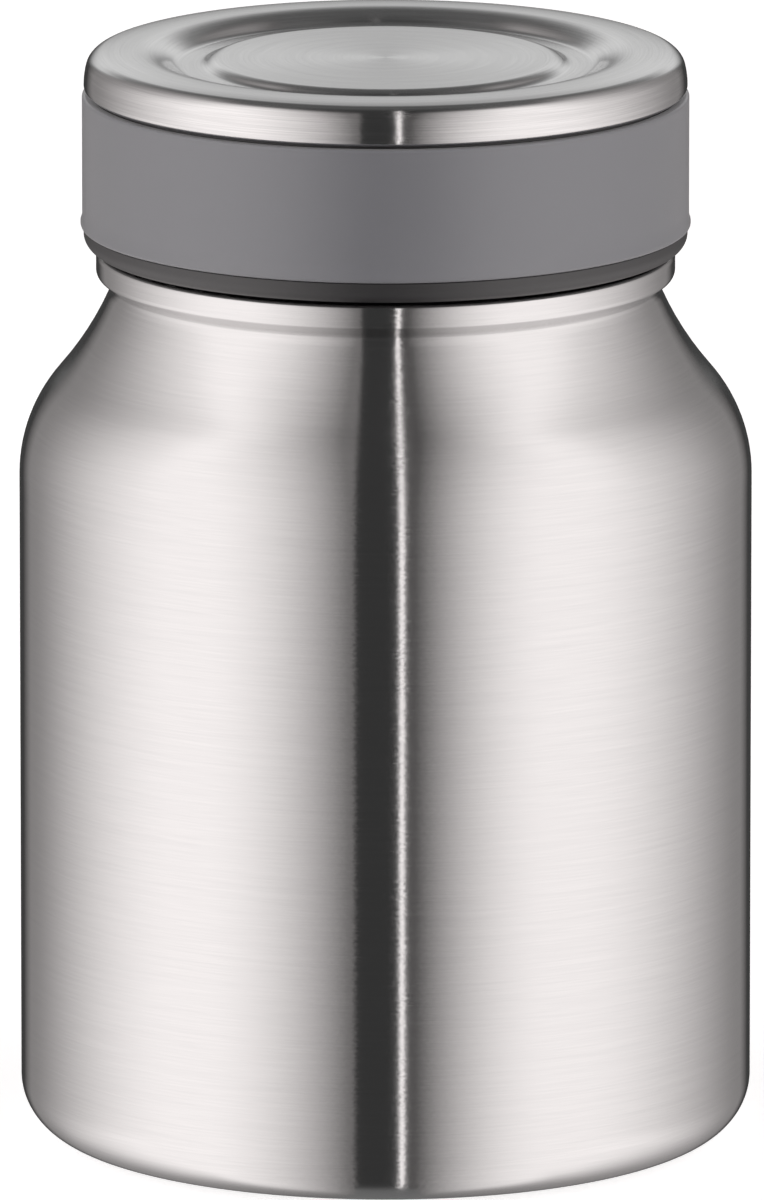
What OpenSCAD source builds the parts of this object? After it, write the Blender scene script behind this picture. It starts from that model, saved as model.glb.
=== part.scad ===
// Insulated food jar: a double-wall vacuum jar with a wide mouth and a screw lid.
// Millimetres, +Z up, origin at the middle of the base plane, lid drawn closed.
// Every profile is drawn in the plane of radius and height, then turned about Z.
// The sheet-metal paths run at depth t under the outer skin, so two of them make a wall.

/* [Jar] */
// Widest diameter of the outer wall
body_d = 95; // [78:0.5:116]
// Height of the straight part of the outer wall above the base plane
wall_top = 87.3; // [55:0.1:130]
// Radius of the rounded foot edge
foot_radius = 7.6; // [4:0.1:10]
// Width of the flat ring that the jar stands on
foot_flat = 2.4; // [1.5:0.1:4]
// Lean of the wall from the vertical at the middle of the shoulder, in degrees
shoulder_lean = 40.8; // [34:0.1:50]
// Lean of the wall from the vertical where the shoulder meets the groove, in degrees
throat_lean = 24; // [12:0.5:28]
// Part of the shoulder's step that its bulging curve takes
shoulder_share = 0.419; // [0.3:0.001:0.6]

/* [Neck] */
// Outer diameter of the threaded neck
neck_d = 69; // [60:0.1:74]
// Height of the neck above the stop bead
neck_h = 14.2; // [12.5:0.1:20]
// How far the stop bead stands out from the neck
bead_out = 3; // [2.4:0.05:3.6]
// How far the groove under the bead is set back from it
groove_in = 1.7; // [1.2:0.05:1.9]
// Height of the flat flank of the bead
bead_flat = 1.7; // [0.8:0.1:2.4]

/* [Walls] */
// Thickness of the outer wall
outer_wall = 0.5; // [0.4:0.05:0.6]
// Thickness of the inner wall
pot_wall = 0.5; // [0.4:0.05:0.6]
// Thickness of the base plate
base_wall = 0.6; // [0.5:0.05:0.8]
// Vacuum gap between the straight walls
vacuum_gap = 4; // [2.5:0.1:5]
// Vacuum gap in the neck
neck_gap = 1.2; // [0.9:0.1:1.8]
// Vacuum gap between the base plate and the inner pot
floor_gap = 6; // [5:0.1:10]
// Radius of the inner pot's lower corner
pot_corner = 8; // [5:0.5:12]
// Height of the base plate's underside above the base plane
recess_h = 2.5; // [2:0.1:4]

/* [Lid] */
// Wall of the lid body at its thread
lid_wall = 1.6; // [1.3:0.1:2]
// How far the dark ring stands out from the wall under the band
ring_out = 1.1; // [0.8:0.1:1.4]
// Height of the dark ring under the band
ring_h = 2.9; // [2.4:0.1:4.5]
// How far the band stands out from the dark ring
band_out = 0.4; // [0.2:0.05:0.8]
// How far the steel cap is set in from the band
cap_in = 0.45; // [0.2:0.05:0.8]
// Thickness of the lid body's deck
deck_h = 2.2; // [1.6:0.1:3]
// Height of the band above the deck
band_rise = 1.1; // [0.6:0.1:2]
// Depth of the plug below the lip
plug_h = 4.5; // [3:0.1:8]
// Wall of the inner cup
liner_wall = 1.2; // [0.8:0.1:1.6]
// Thickness of the inner cup's flange
flange_h = 1.1; // [0.9:0.1:1.5]
// Thickness of the seal ring
seal_h = 1.6; // [1.2:0.1:2.5]

/* [Steel cap] */
// Thickness of the cap
cap_wall = 0.5; // [0.4:0.05:0.6]
// Height of the cap's upright side
cap_side = 0.9; // [0.7:0.1:2]
// Width of the rim, from the side to the valley's flat floor
rim_w = 12.6; // [12.2:0.1:15]
// Width of the valley's flat floor
valley_w = 2.2; // [1:0.1:4]
// Depth of the valley below the rim's crest
valley_depth = 1.8; // [1.4:0.1:2.2]
// Drop of the middle disc below the rim's crest
disc_drop = 0.9; // [0.5:0.1:1.2]

/* [Thread] */
// Rise of the lid in one turn
thread_lead = 9; // [8:0.1:11]
// Number of thread starts
thread_starts = 2; // [2:1:2]
// Height of a thread ridge
thread_h = 1.3; // [1:0.1:1.5]
// Width of a ridge at its foot
ridge_foot = 2.4; // [1.8:0.1:2.6]
// Width of a ridge at its crest
ridge_crest = 1; // [0.8:0.1:1.2]

/* [Clearances] */
// Gap between a ridge's crest and the other piece's wall
crest_gap = 0.6; // [0.4:0.05:0.9]
// Gap between the two threads' loaded flanks
flank_gap = 0.35; // [0.3:0.05:0.5]
// Gap between the plug and the mouth
plug_gap = 0.7; // [0.4:0.05:1.2]
// Running gap between the moving bodies
run_gap = 0.3; // [0.25:0.05:0.5]
// Assembly gap between pieces that don't move apart
seat_gap = 0.1; // [0.05:0.05:0.15]

/* [Hidden] */
$fn = 96;
steel = "#b9bab8";
bright = "#d6d7d8";
light_grey = "#9a9892";
charcoal = "#3c3c3c";

// Largest gap allowed between a curve and the straight pieces that draw it
sag = 0.02;
// How far a cut runs past what it cuts
over = 1;

// Lean of a wall of height h that two curves of total radius r round off, at most the last value
function wall_lean(h, r, most) = min(most, acos(1 - h / r));
// Width that such a wall and its two curves take up
function wall_w(h, r, lean) = r * sin(lean) + (h - r * (1 - cos(lean))) / tan(lean);

// Outer wall, from the foot up to the lip
body_r = body_d / 2;
neck_r = neck_d / 2;
bead_r = neck_r + bead_out;
groove_r = bead_r - groove_in;
foot_in_r = body_r - foot_radius - foot_flat;
groove_fillet = 1.6;
bead_fillet = 1.2;
bead_edge = 0.8;
neck_fillet = 0.8;
flange_gap = 0.5;
shoulder_step = body_r - groove_r - groove_fillet * (1 - cos(throat_lean));
bulge_r = shoulder_share * shoulder_step / (1 - cos(shoulder_lean));
hollow_r = (1 - shoulder_share) * shoulder_step / (cos(throat_lean) - cos(shoulder_lean));
hollow_x = body_r - bulge_r + (bulge_r + hollow_r) * cos(shoulder_lean);
hollow_z = wall_top + (bulge_r + hollow_r) * sin(shoulder_lean);
groove_z = hollow_z + (groove_fillet - hollow_r) * sin(throat_lean);
bead_curves = groove_fillet + bead_fillet;
bead_lean = wall_lean(groove_in, bead_curves, 50);
bead_z = groove_z + wall_w(groove_in, bead_curves, bead_lean);
bead_top = bead_z + bead_flat + bead_edge;
lip_z = bead_top + neck_h;

// Inner pot, which follows the outer wall at the vacuum gap
pot_r = body_r - outer_wall - vacuum_gap;
mouth_r = neck_r - outer_wall - neck_gap - pot_wall;
lip_radius = (neck_r - mouth_r) / 2;
least_bulge = 0.25;
seam_rise = 2;
pot_curves = (pot_r - mouth_r - pot_wall) / (1 - cos(shoulder_lean));
pot_bulge_r = max(bulge_r - outer_wall - vacuum_gap, least_bulge * pot_curves);
pot_hollow_r = pot_curves - pot_bulge_r;
plate_z = recess_h + base_wall;
pot_z = plate_z + floor_gap;
pot_seam_z = pot_z + pot_corner + seam_rise;

// Base plate, its evacuation pocket and what is in it
pocket_r = 6;
pocket_h = 1.2;
port_r = 1.2;
disc_r = 17;
disc_h = 0.5;
solder_r = 2.6;
solder_h = 0.8;

// Getter, set beside the pocket on the plate
getter_x = 22;
pill_r = 4.5;
pill_h = 2.2;
clip_wall = 0.4;
clip_w = 6;
clip_l = 18;
clip_hook = 1;

// Foil wrapped round the straight part of the inner wall
foil_wall = 0.15;
foil_margin = 3;
foil_seam = 2;

// Lid, stacked up from the bead and the lip
lid_bottom = bead_top + run_gap;
lid_in_r = neck_r + thread_h + crest_gap;
sleeve_r = lid_in_r + lid_wall;
ring_r = sleeve_r + ring_out;
band_r = ring_r + band_out;
band_z = lid_bottom + ring_h;
seal_z = lip_z + run_gap;
deck_z = seal_z + seal_h + flange_h;
deck_top = deck_z + deck_h;
band_top = deck_top + band_rise;
ring_edge = 2;
entry_edge = 0.5;
plug_r = mouth_r - plug_gap;
plug_z = lip_z - plug_h;
plug_edge = 2.5;
seal_in_r = plug_r + run_gap;
seal_over = 0.2;
seal_out_r = neck_r + seal_over;
seal_edge = 0.4;
band_edge = 0.5;

// Steel cap
cap_r = band_r - cap_in;
cap_z = band_top + run_gap;
cap_lean = 14;
cap_lean_r = 10;
cap_corner = 2.3;
dome_lean = 83;
dome_r = 30;
rim_lip = 7.5;
valley_fillet = 2.1;
disc_edge = 2.6;
cap_side_z = cap_z + cap_side;
corner_x = cap_r - cap_lean_r + (cap_lean_r - cap_corner) * cos(cap_lean);
corner_z = cap_side_z + (cap_lean_r - cap_corner) * sin(cap_lean);
dome_x = corner_x - (dome_r - cap_corner) * cos(dome_lean);
dome_z = corner_z - (dome_r - cap_corner) * sin(dome_lean);
cap_top = dome_z + dome_r;
valley_z = cap_top - valley_depth;
cap_disc_z = cap_top - disc_drop;
valley_out = cap_r - rim_w;
valley_in = valley_out - valley_w;
rim_curves = rim_lip + valley_fillet;
rim_lean = wall_lean(valley_depth, rim_curves, 65);
rim_x = valley_out + wall_w(valley_depth, rim_curves, rim_lean);
disc_rise = valley_depth - disc_drop;
disc_curves = valley_fillet + disc_edge;
disc_lean = wall_lean(disc_rise, disc_curves, 65);
disc_x = valley_in - wall_w(disc_rise, disc_curves, disc_lean);
snap_z = cap_z + cap_wall + seat_gap;
snap_h = 0.6;
snap_out = 0.4;
rib_w = 1.6;

// Threads
thread_steps = 48;
taper_steps = 3;
taper_least = 0.1;
embed = 0.25;
thread_low_gap = 0.9;
thread_high_gap = 0.6;
thread_entry_gap = 0.2;
neck_turn = 360;
lid_turn = 180;
thread_z = bead_top + neck_fillet + thread_low_gap + ridge_foot / 2;
thread_room = lip_z - lip_radius - thread_high_gap - ridge_foot / 2 - thread_z;
neck_sweep = min(neck_turn, 360 * thread_room / thread_lead);
// Both ridges have this width where their heights overlap halfway
meet_share = (thread_h - crest_gap) / 2 / thread_h;
meet_w = ridge_crest + (ridge_foot - ridge_crest) * meet_share;
lid_drop = meet_w + flank_gap;
lid_low_z = lid_bottom + entry_edge + thread_entry_gap + ridge_foot / 2;
lid_from = 360 * (lid_low_z + lid_drop - thread_z) / thread_lead;
lid_sweep = min(lid_turn, neck_sweep - lid_from);

// Points on an arc about c, from angle a0 to a1
function arc(c, r, a0, a1) =
    let (n = max(2, ceil(abs(a1 - a0) / (2 * acos(1 - sag / max(r, 4 * sag))))))
    [for (i = [0:n]) let (a = a0 + (a1 - a0) * i / n) c + r * [cos(a), sin(a)]];

function reversed(p) = [for (i = [len(p) - 1:-1:0]) p[i]];

// A run of points without the repeats that tangent arcs leave at their ends
function distinct(p) = [for (i = [0:len(p) - 1]) if (i == 0 || norm(p[i] - p[i - 1]) > 0.001) p[i]];

// Outer wall at depth t, from the foot's inner edge up to the lip
function outer_path(t) = concat(
    [[foot_in_r, t]],
    arc([body_r - foot_radius, foot_radius], foot_radius - t, -90, 0),
    arc([body_r - bulge_r, wall_top], bulge_r - t, 0, shoulder_lean),
    arc([hollow_x, hollow_z], hollow_r + t, 180 + shoulder_lean, 180 + throat_lean),
    arc([groove_r + groove_fillet, groove_z], groove_fillet + t, 180 + throat_lean, 180 - bead_lean),
    arc([bead_r - bead_fillet, bead_z], bead_fillet - t, -bead_lean, 0),
    arc([bead_r - bead_edge, bead_top - bead_edge], bead_edge - t, 0, 90),
    arc([neck_r + neck_fillet, bead_top + neck_fillet], neck_fillet + t, 270, 180),
    [[neck_r - t, lip_z - lip_radius]]
);

// Inner wall at depth t under its vacuum side, from its lower seam over the rolled lip
function pot_path(t) = concat(
    [[pot_r - t, pot_seam_z]],
    arc([pot_r - pot_bulge_r, wall_top], pot_bulge_r - t, 0, shoulder_lean),
    arc([mouth_r + pot_wall + pot_hollow_r, wall_top + pot_curves * sin(shoulder_lean)],
        pot_hollow_r + t, 180 + shoulder_lean, 180),
    arc([neck_r - lip_radius, lip_z - lip_radius], lip_radius - pot_wall + t, 180, 0)
);

// Inner bottom at depth t, from the middle out to the seam
function pot_base_path(t) = concat(
    [[0, pot_z + t]],
    arc([pot_r - pot_corner, pot_z + pot_corner], pot_corner - t, -90, 0),
    [[pot_r - t, pot_seam_z]]
);

// Underside of the base plate, raised by t: pocket, flat, step and welded flange
function plate_path(t) = [
    [0, recess_h + pocket_h + t],
    [pocket_r - pocket_h, recess_h + pocket_h + t],
    [pocket_r, recess_h + t],
    [foot_in_r - recess_h, recess_h + t],
    [foot_in_r - flange_gap, outer_wall + t],
    [foot_in_r + foot_flat, outer_wall + t]
];

// Steel cap at depth t: side, lean, corner, domed rim, valley and middle disc
function cap_path(t) = concat(
    [[cap_r - t, cap_z]],
    arc([cap_r - cap_lean_r, cap_side_z], cap_lean_r - t, 0, cap_lean),
    arc([corner_x, corner_z], cap_corner - t, cap_lean, dome_lean),
    arc([dome_x, dome_z], dome_r - t, dome_lean, 90),
    arc([rim_x, cap_top - rim_lip], rim_lip - t, 90, 90 + rim_lean),
    arc([valley_out, valley_z + valley_fillet], valley_fillet + t, rim_lean - 90, -90),
    arc([valley_in, valley_z + valley_fillet], valley_fillet + t, 270, 270 - disc_lean),
    arc([disc_x, cap_disc_z - disc_edge], disc_edge - t, 90 - disc_lean, 90),
    [[0, cap_disc_z - t]]
);

// Turned solid between two paths
module sheet(outer, inner) {
    rotate_extrude()
        polygon(distinct(concat(outer, reversed(inner))));
}

module ring(r_out, r_in, z, h) {
    translate([0, 0, z])
        difference() {
            cylinder(r = r_out, h = h);
            translate([0, 0, -over]) cylinder(r = r_in, h = h + 2 * over);
        }
}

// One helical ridge from angle a0 through sweep, standing thread_h out of (side 1) or
// into (side -1) a wall of radius wall_r, with its middle at height z where the angle is 0
module ridge(wall_r, side, z, a0, sweep) {
    n = ceil(thread_steps * sweep / 360);
    function height(i) = thread_h * max(taper_least, min(1, i / taper_steps, (n - i) / taper_steps));
    function corner(i, out, w) =
        let (a = a0 + sweep * i / n, r = wall_r + side * out)
        [r * cos(a), r * sin(a), z + thread_lead * a / 360 + side * w / 2];
    points = [
        for (i = [0:n]) each [
            corner(i, -embed, -ridge_foot),
            corner(i, height(i), -ridge_crest),
            corner(i, height(i), ridge_crest),
            corner(i, -embed, ridge_foot)
        ]
    ];
    sides = [
        for (i = [0:n - 1], j = [0:3])
            let (a = 4 * i + j, b = 4 * i + (j + 1) % 4)
            each [[a, b, b + 4], [a, b + 4, a + 4]]
    ];
    ends = [[3, 2, 1, 0], [4 * n, 4 * n + 1, 4 * n + 2, 4 * n + 3]];
    polyhedron(points, concat(sides, ends), convexity = 6);
}

module starts() {
    for (k = [0:thread_starts - 1]) rotate([0, 0, 360 * k / thread_starts]) children();
}

module outer_shell() {
    color(steel) union() {
        sheet(outer_path(0), outer_path(outer_wall));
        starts() ridge(neck_r, 1, thread_z, 0, neck_sweep);
    }
}

module outer_base() {
    color(steel) difference() {
        sheet(plate_path(0), plate_path(base_wall));
        cylinder(r = port_r, h = plate_z + pocket_h + over);
    }
}

module base_disc() {
    color(bright) translate([0, 0, recess_h - disc_h]) cylinder(r = disc_r, h = disc_h);
}

// Solder bead in the pocket, with its stem in the evacuation hole
module vacuum_plug() {
    pocket_z = recess_h + pocket_h;
    color("#4a4f52") union() {
        translate([0, 0, pocket_z - solder_h]) cylinder(r = solder_r, h = solder_h);
        translate([0, 0, pocket_z - solder_h / 2])
            cylinder(r = port_r - seat_gap / 2, h = solder_h / 2 + base_wall);
    }
}

// Strip under the pill, with two ears that hook over it
module getter_clip() {
    ear_h = clip_wall + pill_h + clip_wall;
    color(bright) translate([getter_x, 0, plate_z]) {
        translate([-clip_w / 2, -clip_l / 2, 0]) cube([clip_w, clip_l, clip_wall]);
        for (s = [-1, 1]) {
            ear_y = s * (pill_r + seat_gap + clip_wall / 2);
            translate([-clip_w / 2, ear_y - clip_wall / 2, 0]) cube([clip_w, clip_wall, ear_h]);
            translate([-clip_w / 2, ear_y - s * clip_hook / 2 - clip_hook / 2, ear_h - clip_wall])
                cube([clip_w, clip_hook, clip_wall]);
        }
    }
}

module getter_pill() {
    color("#6d6d6d") translate([getter_x, 0, plate_z + clip_wall]) cylinder(r = pill_r, h = pill_h);
}

module inner_pot() {
    color(bright) sheet(pot_path(0), pot_path(pot_wall));
}

module inner_base() {
    color(bright) sheet(pot_base_path(0), pot_base_path(pot_wall));
}

// One wrap, open by the seam's width
module radiation_foil() {
    foil_r = pot_r + seat_gap;
    foil_z = pot_seam_z + foil_margin;
    foil_h = wall_top - foil_margin - foil_z;
    color("#c77b4a") difference() {
        ring(foil_r + foil_wall, foil_r, foil_z, foil_h);
        translate([foil_r - over, -foil_seam / 2, foil_z - over])
            cube([3 * over, foil_seam, foil_h + 2 * over]);
    }
}

// Silicone ring with eased edges, just clear of the plug and the lip
module lid_seal() {
    color("#e4e2dc") rotate_extrude() polygon([
        [seal_in_r, seal_z],
        [seal_out_r - seal_edge, seal_z],
        [seal_out_r, seal_z + seal_edge],
        [seal_out_r, seal_z + seal_h],
        [seal_in_r, seal_z + seal_h]
    ]);
}

// Lid body: threaded sleeve, dark ring, deck, snap rim for the cap and a rib under the valley
module lid_body() {
    rim_z = snap_z + snap_h;
    rib_r = valley_out - valley_w / 2 + rib_w / 2;
    sleeve = concat(
        [[lid_in_r, deck_z], [lid_in_r, lid_bottom + entry_edge], [lid_in_r + entry_edge, lid_bottom]],
        arc([ring_r - ring_edge, lid_bottom + ring_edge], ring_edge, -90, 0),
        [
            [ring_r, band_z],
            [sleeve_r, band_z],
            [sleeve_r, snap_z],
            [sleeve_r + snap_out, snap_z + snap_h / 2],
            [sleeve_r, rim_z],
            [lid_in_r, rim_z],
            [lid_in_r, deck_top],
            [0, deck_top],
            [0, deck_z]
        ]
    );
    color(charcoal) union() {
        rotate_extrude() polygon(sleeve);
        ring(rib_r, rib_r - rib_w, deck_top - embed, valley_z - cap_wall - deck_top + embed);
        starts() ridge(lid_in_r, -1, thread_z - lid_drop, lid_from, lid_sweep);
    }
}

// Inner cup: flat floor, rounded corner, wall and the flange that carries the seal
module lid_liner() {
    flange_r = lid_in_r - 2 * seat_gap;
    function cup(t) = concat(
        [[0, plug_z + t]],
        arc([plug_r - plug_edge, plug_z + plug_edge], plug_edge - t, -90, 0)
    );
    color("#55565a") rotate_extrude() polygon(concat(
        cup(0),
        [[plug_r, deck_z - flange_h], [flange_r, deck_z - flange_h], [flange_r, deck_z]],
        [[plug_r - liner_wall, deck_z]],
        reversed(cup(liner_wall))
    ));
}

module lid_foam() {
    foam_r = plug_r - liner_wall - seat_gap;
    foam_z = plug_z + liner_wall;
    foam_edge = plug_edge - liner_wall;
    color("#efeee6") rotate_extrude() polygon(concat(
        [[0, foam_z]],
        arc([foam_r - foam_edge, foam_z + foam_edge], foam_edge, -90, 0),
        [[foam_r, deck_z], [0, deck_z]]
    ));
}

module lid_band() {
    band_in_r = sleeve_r + seat_gap;
    color(light_grey) rotate_extrude() polygon(concat(
        [[band_in_r, band_z], [band_r - band_edge, band_z]],
        arc([band_r - band_edge, band_z + band_edge], band_edge, -90, 0),
        arc([band_r - band_edge, band_top - band_edge], band_edge, 0, 90),
        [[band_in_r, band_top]]
    ));
}

// Pressed cap with a turned-in lower edge that snaps over the lid body's rim
module lid_cap() {
    hem_r = sleeve_r + seat_gap;
    color(steel) union() {
        sheet(cap_path(0), cap_path(cap_wall));
        ring(cap_r - cap_wall / 2, hem_r, cap_z, cap_wall);
    }
}

outer_shell();
outer_base();
base_disc();
vacuum_plug();
getter_clip();
getter_pill();
inner_pot();
inner_base();
radiation_foil();
lid_seal();
lid_body();
lid_liner();
lid_foam();
lid_band();
lid_cap();
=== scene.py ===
"""Insulated food jar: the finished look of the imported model, in metres, +Z up, lid closed at rest."""

import math

import bmesh
import bpy
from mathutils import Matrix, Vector


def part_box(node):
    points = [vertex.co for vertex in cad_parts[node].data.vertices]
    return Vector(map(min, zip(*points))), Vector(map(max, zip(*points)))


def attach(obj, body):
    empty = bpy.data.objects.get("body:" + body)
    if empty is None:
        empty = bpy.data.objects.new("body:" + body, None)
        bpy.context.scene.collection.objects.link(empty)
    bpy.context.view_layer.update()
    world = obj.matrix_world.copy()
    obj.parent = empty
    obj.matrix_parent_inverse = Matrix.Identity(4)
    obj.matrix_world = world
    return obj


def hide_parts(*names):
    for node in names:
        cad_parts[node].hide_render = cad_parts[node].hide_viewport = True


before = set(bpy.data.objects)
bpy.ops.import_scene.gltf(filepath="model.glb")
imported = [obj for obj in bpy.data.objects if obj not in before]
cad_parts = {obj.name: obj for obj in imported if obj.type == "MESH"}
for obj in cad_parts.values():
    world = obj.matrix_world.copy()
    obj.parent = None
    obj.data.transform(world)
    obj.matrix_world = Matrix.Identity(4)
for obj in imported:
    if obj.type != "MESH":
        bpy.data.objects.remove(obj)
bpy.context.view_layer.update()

MM = 0.001


def add_object(name, data):
    """An object in the scene that holds the data."""
    made = bpy.data.objects.new(name, data)
    bpy.context.scene.collection.objects.link(made)
    return made


# ---------------------------------------------------------------------------
# Camera: the photograph's long lens, a little above the jar
# ---------------------------------------------------------------------------

SENSOR = 36.0
LENS = 693.0
CAMERA_DISTANCE = 3.0
CAMERA_RISE = math.radians(12.1)
AIM = Vector((0, 0, 71.5 * MM))
SHIFT_X = -0.0030
SHIFT_Y = -0.0080
FARTHEST_SEEN = 50.0


def make_camera():
    """A camera on the -Y side that looks down at the jar's middle by CAMERA_RISE."""
    camera = add_object("camera", bpy.data.cameras.new("camera"))
    camera.data.sensor_width = SENSOR
    camera.data.lens = LENS
    camera.data.shift_x = SHIFT_X
    camera.data.shift_y = SHIFT_Y
    camera.data.clip_end = FARTHEST_SEEN
    back = Vector((0, -math.cos(CAMERA_RISE), math.sin(CAMERA_RISE)))
    camera.location = AIM + CAMERA_DISTANCE * back
    camera.rotation_mode = "QUATERNION"
    camera.rotation_quaternion = (-back).to_track_quat("-Z", "Y")
    bpy.context.scene.camera = camera


# ---------------------------------------------------------------------------
# Shader helpers
# ---------------------------------------------------------------------------


class Bench:
    """Lays nodes in one tree. A value for a socket is either a number or another node's output."""

    def __init__(self, tree):
        self.tree = tree

    def node(self, kind, settings=None, **sockets):
        made = self.tree.nodes.new(kind)
        for name, value in (settings or {}).items():
            setattr(made, name, value)
        for name, value in sockets.items():
            self.feed(made, name.replace("_", " "), value)
        return made

    def feed(self, node, socket, value):
        """Gives a value to a socket, which is named or numbered ("0")."""
        into = node.inputs[int(socket) if socket.isdigit() else socket]
        if isinstance(value, bpy.types.NodeSocket):
            self.tree.links.new(value, into)
        else:
            into.default_value = value

    def math(self, operation, a, b=0.0, c=0.0):
        made = self.node("ShaderNodeMath", {"operation": operation})
        for index, value in enumerate((a, b, c)):
            self.feed(made, str(index), value)
        return made.outputs[0]

    def product(self, first, *others):
        for other in others:
            first = self.math("MULTIPLY", first, other)
        return first

    def total(self, first, *others):
        for other in others:
            first = self.math("ADD", first, other)
        return first

    def highest(self, first, *others):
        for other in others:
            first = self.math("MAXIMUM", first, other)
        return first

    def bearing(self, aside, ahead):
        """Angle in degrees between straight ahead and a direction, on the level."""
        return self.math("DEGREES", self.math("ARCTAN2", aside, ahead))

    def vector(self, operation, a, b=(0, 0, 0)):
        made = self.node("ShaderNodeVectorMath", {"operation": operation})
        self.feed(made, "0", a)
        self.feed(made, "1", b)
        return made.outputs["Vector"]

    def scaled(self, vector, scale):
        made = self.node("ShaderNodeVectorMath", {"operation": "SCALE"}, Scale=scale)
        self.feed(made, "0", vector)
        return made.outputs["Vector"]

    def remap(self, value, low, high, to_low=0.0, to_high=1.0, smooth=False):
        made = self.node(
            "ShaderNodeMapRange",
            {"interpolation_type": "SMOOTHSTEP" if smooth else "LINEAR"},
            From_Min=low, From_Max=high, To_Min=to_low, To_Max=to_high, Value=value,
        )
        return made.outputs[0]

    def noise(self, at, scale, detail, roughness=0.5):
        made = self.node(
            "ShaderNodeTexNoise", Vector=at, Scale=scale, Detail=detail, Roughness=roughness
        )
        return made.outputs[0]

    def split(self, vector):
        return self.node("ShaderNodeSeparateXYZ", Vector=vector).outputs

    def join(self, x, y, z):
        return self.node("ShaderNodeCombineXYZ", X=x, Y=y, Z=z).outputs[0]

    def object_place(self):
        return self.node("ShaderNodeTexCoord").outputs["Object"]

    def object_place_in(self, unit):
        """The place on the object, counted in units of a length."""
        return self.scaled(self.object_place(), self.math("DIVIDE", 1.0, unit))

    def tone(self, amount, dark, light):
        """A colour between two, by an amount from 0 to 1."""
        made = self.node("ShaderNodeMix", {"data_type": "RGBA"})
        self.feed(made, "0", amount)
        made.inputs[6].default_value = (*dark, 1)
        made.inputs[7].default_value = (*light, 1)
        return made.outputs[2]

    def bump(self, height, depth):
        return self.node("ShaderNodeBump", Height=height, Distance=depth).outputs["Normal"]

    def finish(self, kind, shader):
        """Ends the tree in an output node that takes the shader."""
        self.feed(self.node(kind), "Surface", shader.outputs[0])


def empty_bench(owner):
    """A bench on the emptied node tree of a material or a world."""
    owner.use_nodes = True
    owner.node_tree.nodes.clear()
    return Bench(owner.node_tree)


def effect(name, inputs, outputs, build):
    """A node group of number sockets, with inputs {name: default} and a list of outputs. It is
    filled by build(bench, inputs), which returns the outputs in their order."""
    group = bpy.data.node_groups.new(name, "ShaderNodeTree")
    for label, default in inputs.items():
        socket = group.interface.new_socket(label, in_out="INPUT", socket_type="NodeSocketFloat")
        socket.default_value = default
    for label in outputs:
        group.interface.new_socket(label, in_out="OUTPUT", socket_type="NodeSocketFloat")
    bench = Bench(group)
    entry = group.nodes.new("NodeGroupInput")
    leave = group.nodes.new("NodeGroupOutput")
    results = build(bench, entry.outputs)
    for label, value in zip(outputs, results):
        group.links.new(value, leave.inputs[label])
    return group


def place(bench, group, **values):
    """Puts a node group in a material, with its own values, and returns its outputs."""
    return bench.node("ShaderNodeGroup", {"node_tree": group}, **values).outputs


# ---------------------------------------------------------------------------
# Effects that several materials use
# ---------------------------------------------------------------------------

# Length and spacing of the coarse lines and of the grains, as shares of the fine lines' own
COARSE_LENGTH = 2.5
COARSE_SPACING = 6.0
GRAIN_LENGTH = 0.06
GRAIN_SPACING = 2.5
# The part of a pattern's range that is spread over 0 to 1
SCRATCH_RANGE = (0.62, 0.74)
PATCH_RANGE = (0.22, 0.78)
# How much finer than the pattern's own size
MOTTLE_FINENESS = 9.0
PIT_FINENESS = 1.4
# Shares of the grains and the pits in a moulded skin's height
GRAIN_SHARE = 0.7
PIT_SHARE = 0.3


def build_brushing(bench, given):
    """Fine lines that run round the axis: each is long round the piece and hair-thin across it."""
    x, y, z = bench.split(bench.object_place())
    radius = bench.math("SQRT", bench.total(bench.product(x, x), bench.product(y, y)))
    along_profile = bench.math("SUBTRACT", z, radius)

    def lines(length, spacing, detail):
        at = bench.join(
            bench.math("DIVIDE", x, length),
            bench.math("DIVIDE", y, length),
            bench.math("DIVIDE", along_profile, spacing),
        )
        return bench.noise(at, scale=1.0, detail=detail, roughness=0.6)

    def other_lines(longer, wider, detail):
        length = bench.product(given["Length"], longer)
        return lines(length, bench.product(given["Spacing"], wider), detail)

    fine = lines(given["Length"], given["Spacing"], detail=2.0)
    coarse = other_lines(COARSE_LENGTH, COARSE_SPACING, detail=3.0)
    scratches = bench.remap(fine, *SCRATCH_RANGE)
    waver = other_lines(GRAIN_LENGTH, GRAIN_SPACING, detail=1.0)
    return fine, coarse, scratches, waver


def build_handling(bench, given):
    """Broad soft patches, as left by wiping and handling, and a finer mottle inside them."""
    at = bench.object_place_in(given["Size"])
    patches = bench.remap(bench.noise(at, scale=1.0, detail=4.0, roughness=0.55), *PATCH_RANGE)
    mottle = bench.noise(at, scale=MOTTLE_FINENESS, detail=2.0)
    return patches, mottle


def build_moulded(bench, given):
    """Spark-eroded mould skin: rounded grains with fine pits between them."""
    at = bench.object_place_in(given["Grain"])
    grains = bench.noise(at, scale=1.0, detail=3.0, roughness=0.6)
    pits = bench.node("ShaderNodeTexVoronoi", Vector=at, Scale=PIT_FINENESS).outputs["Distance"]
    height = bench.total(bench.product(grains, GRAIN_SHARE), bench.product(pits, PIT_SHARE))
    return height, grains


BRUSHING = effect(
    "Turned brushing", {"Length": 12 * MM, "Spacing": 0.12 * MM},
    ["Fine", "Coarse", "Scratches", "Waver"], build_brushing,
)
HANDLING = effect("Handling marks", {"Size": 30 * MM}, ["Patches", "Mottle"], build_handling)
MOULDED = effect("Moulded skin", {"Grain": 0.3 * MM}, ["Height", "Grains"], build_moulded)


# ---------------------------------------------------------------------------
# Materials: each is named after its slot
# ---------------------------------------------------------------------------

STEEL_PATCH = 38 * MM
PLASTIC_PATCH = 24 * MM
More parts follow.
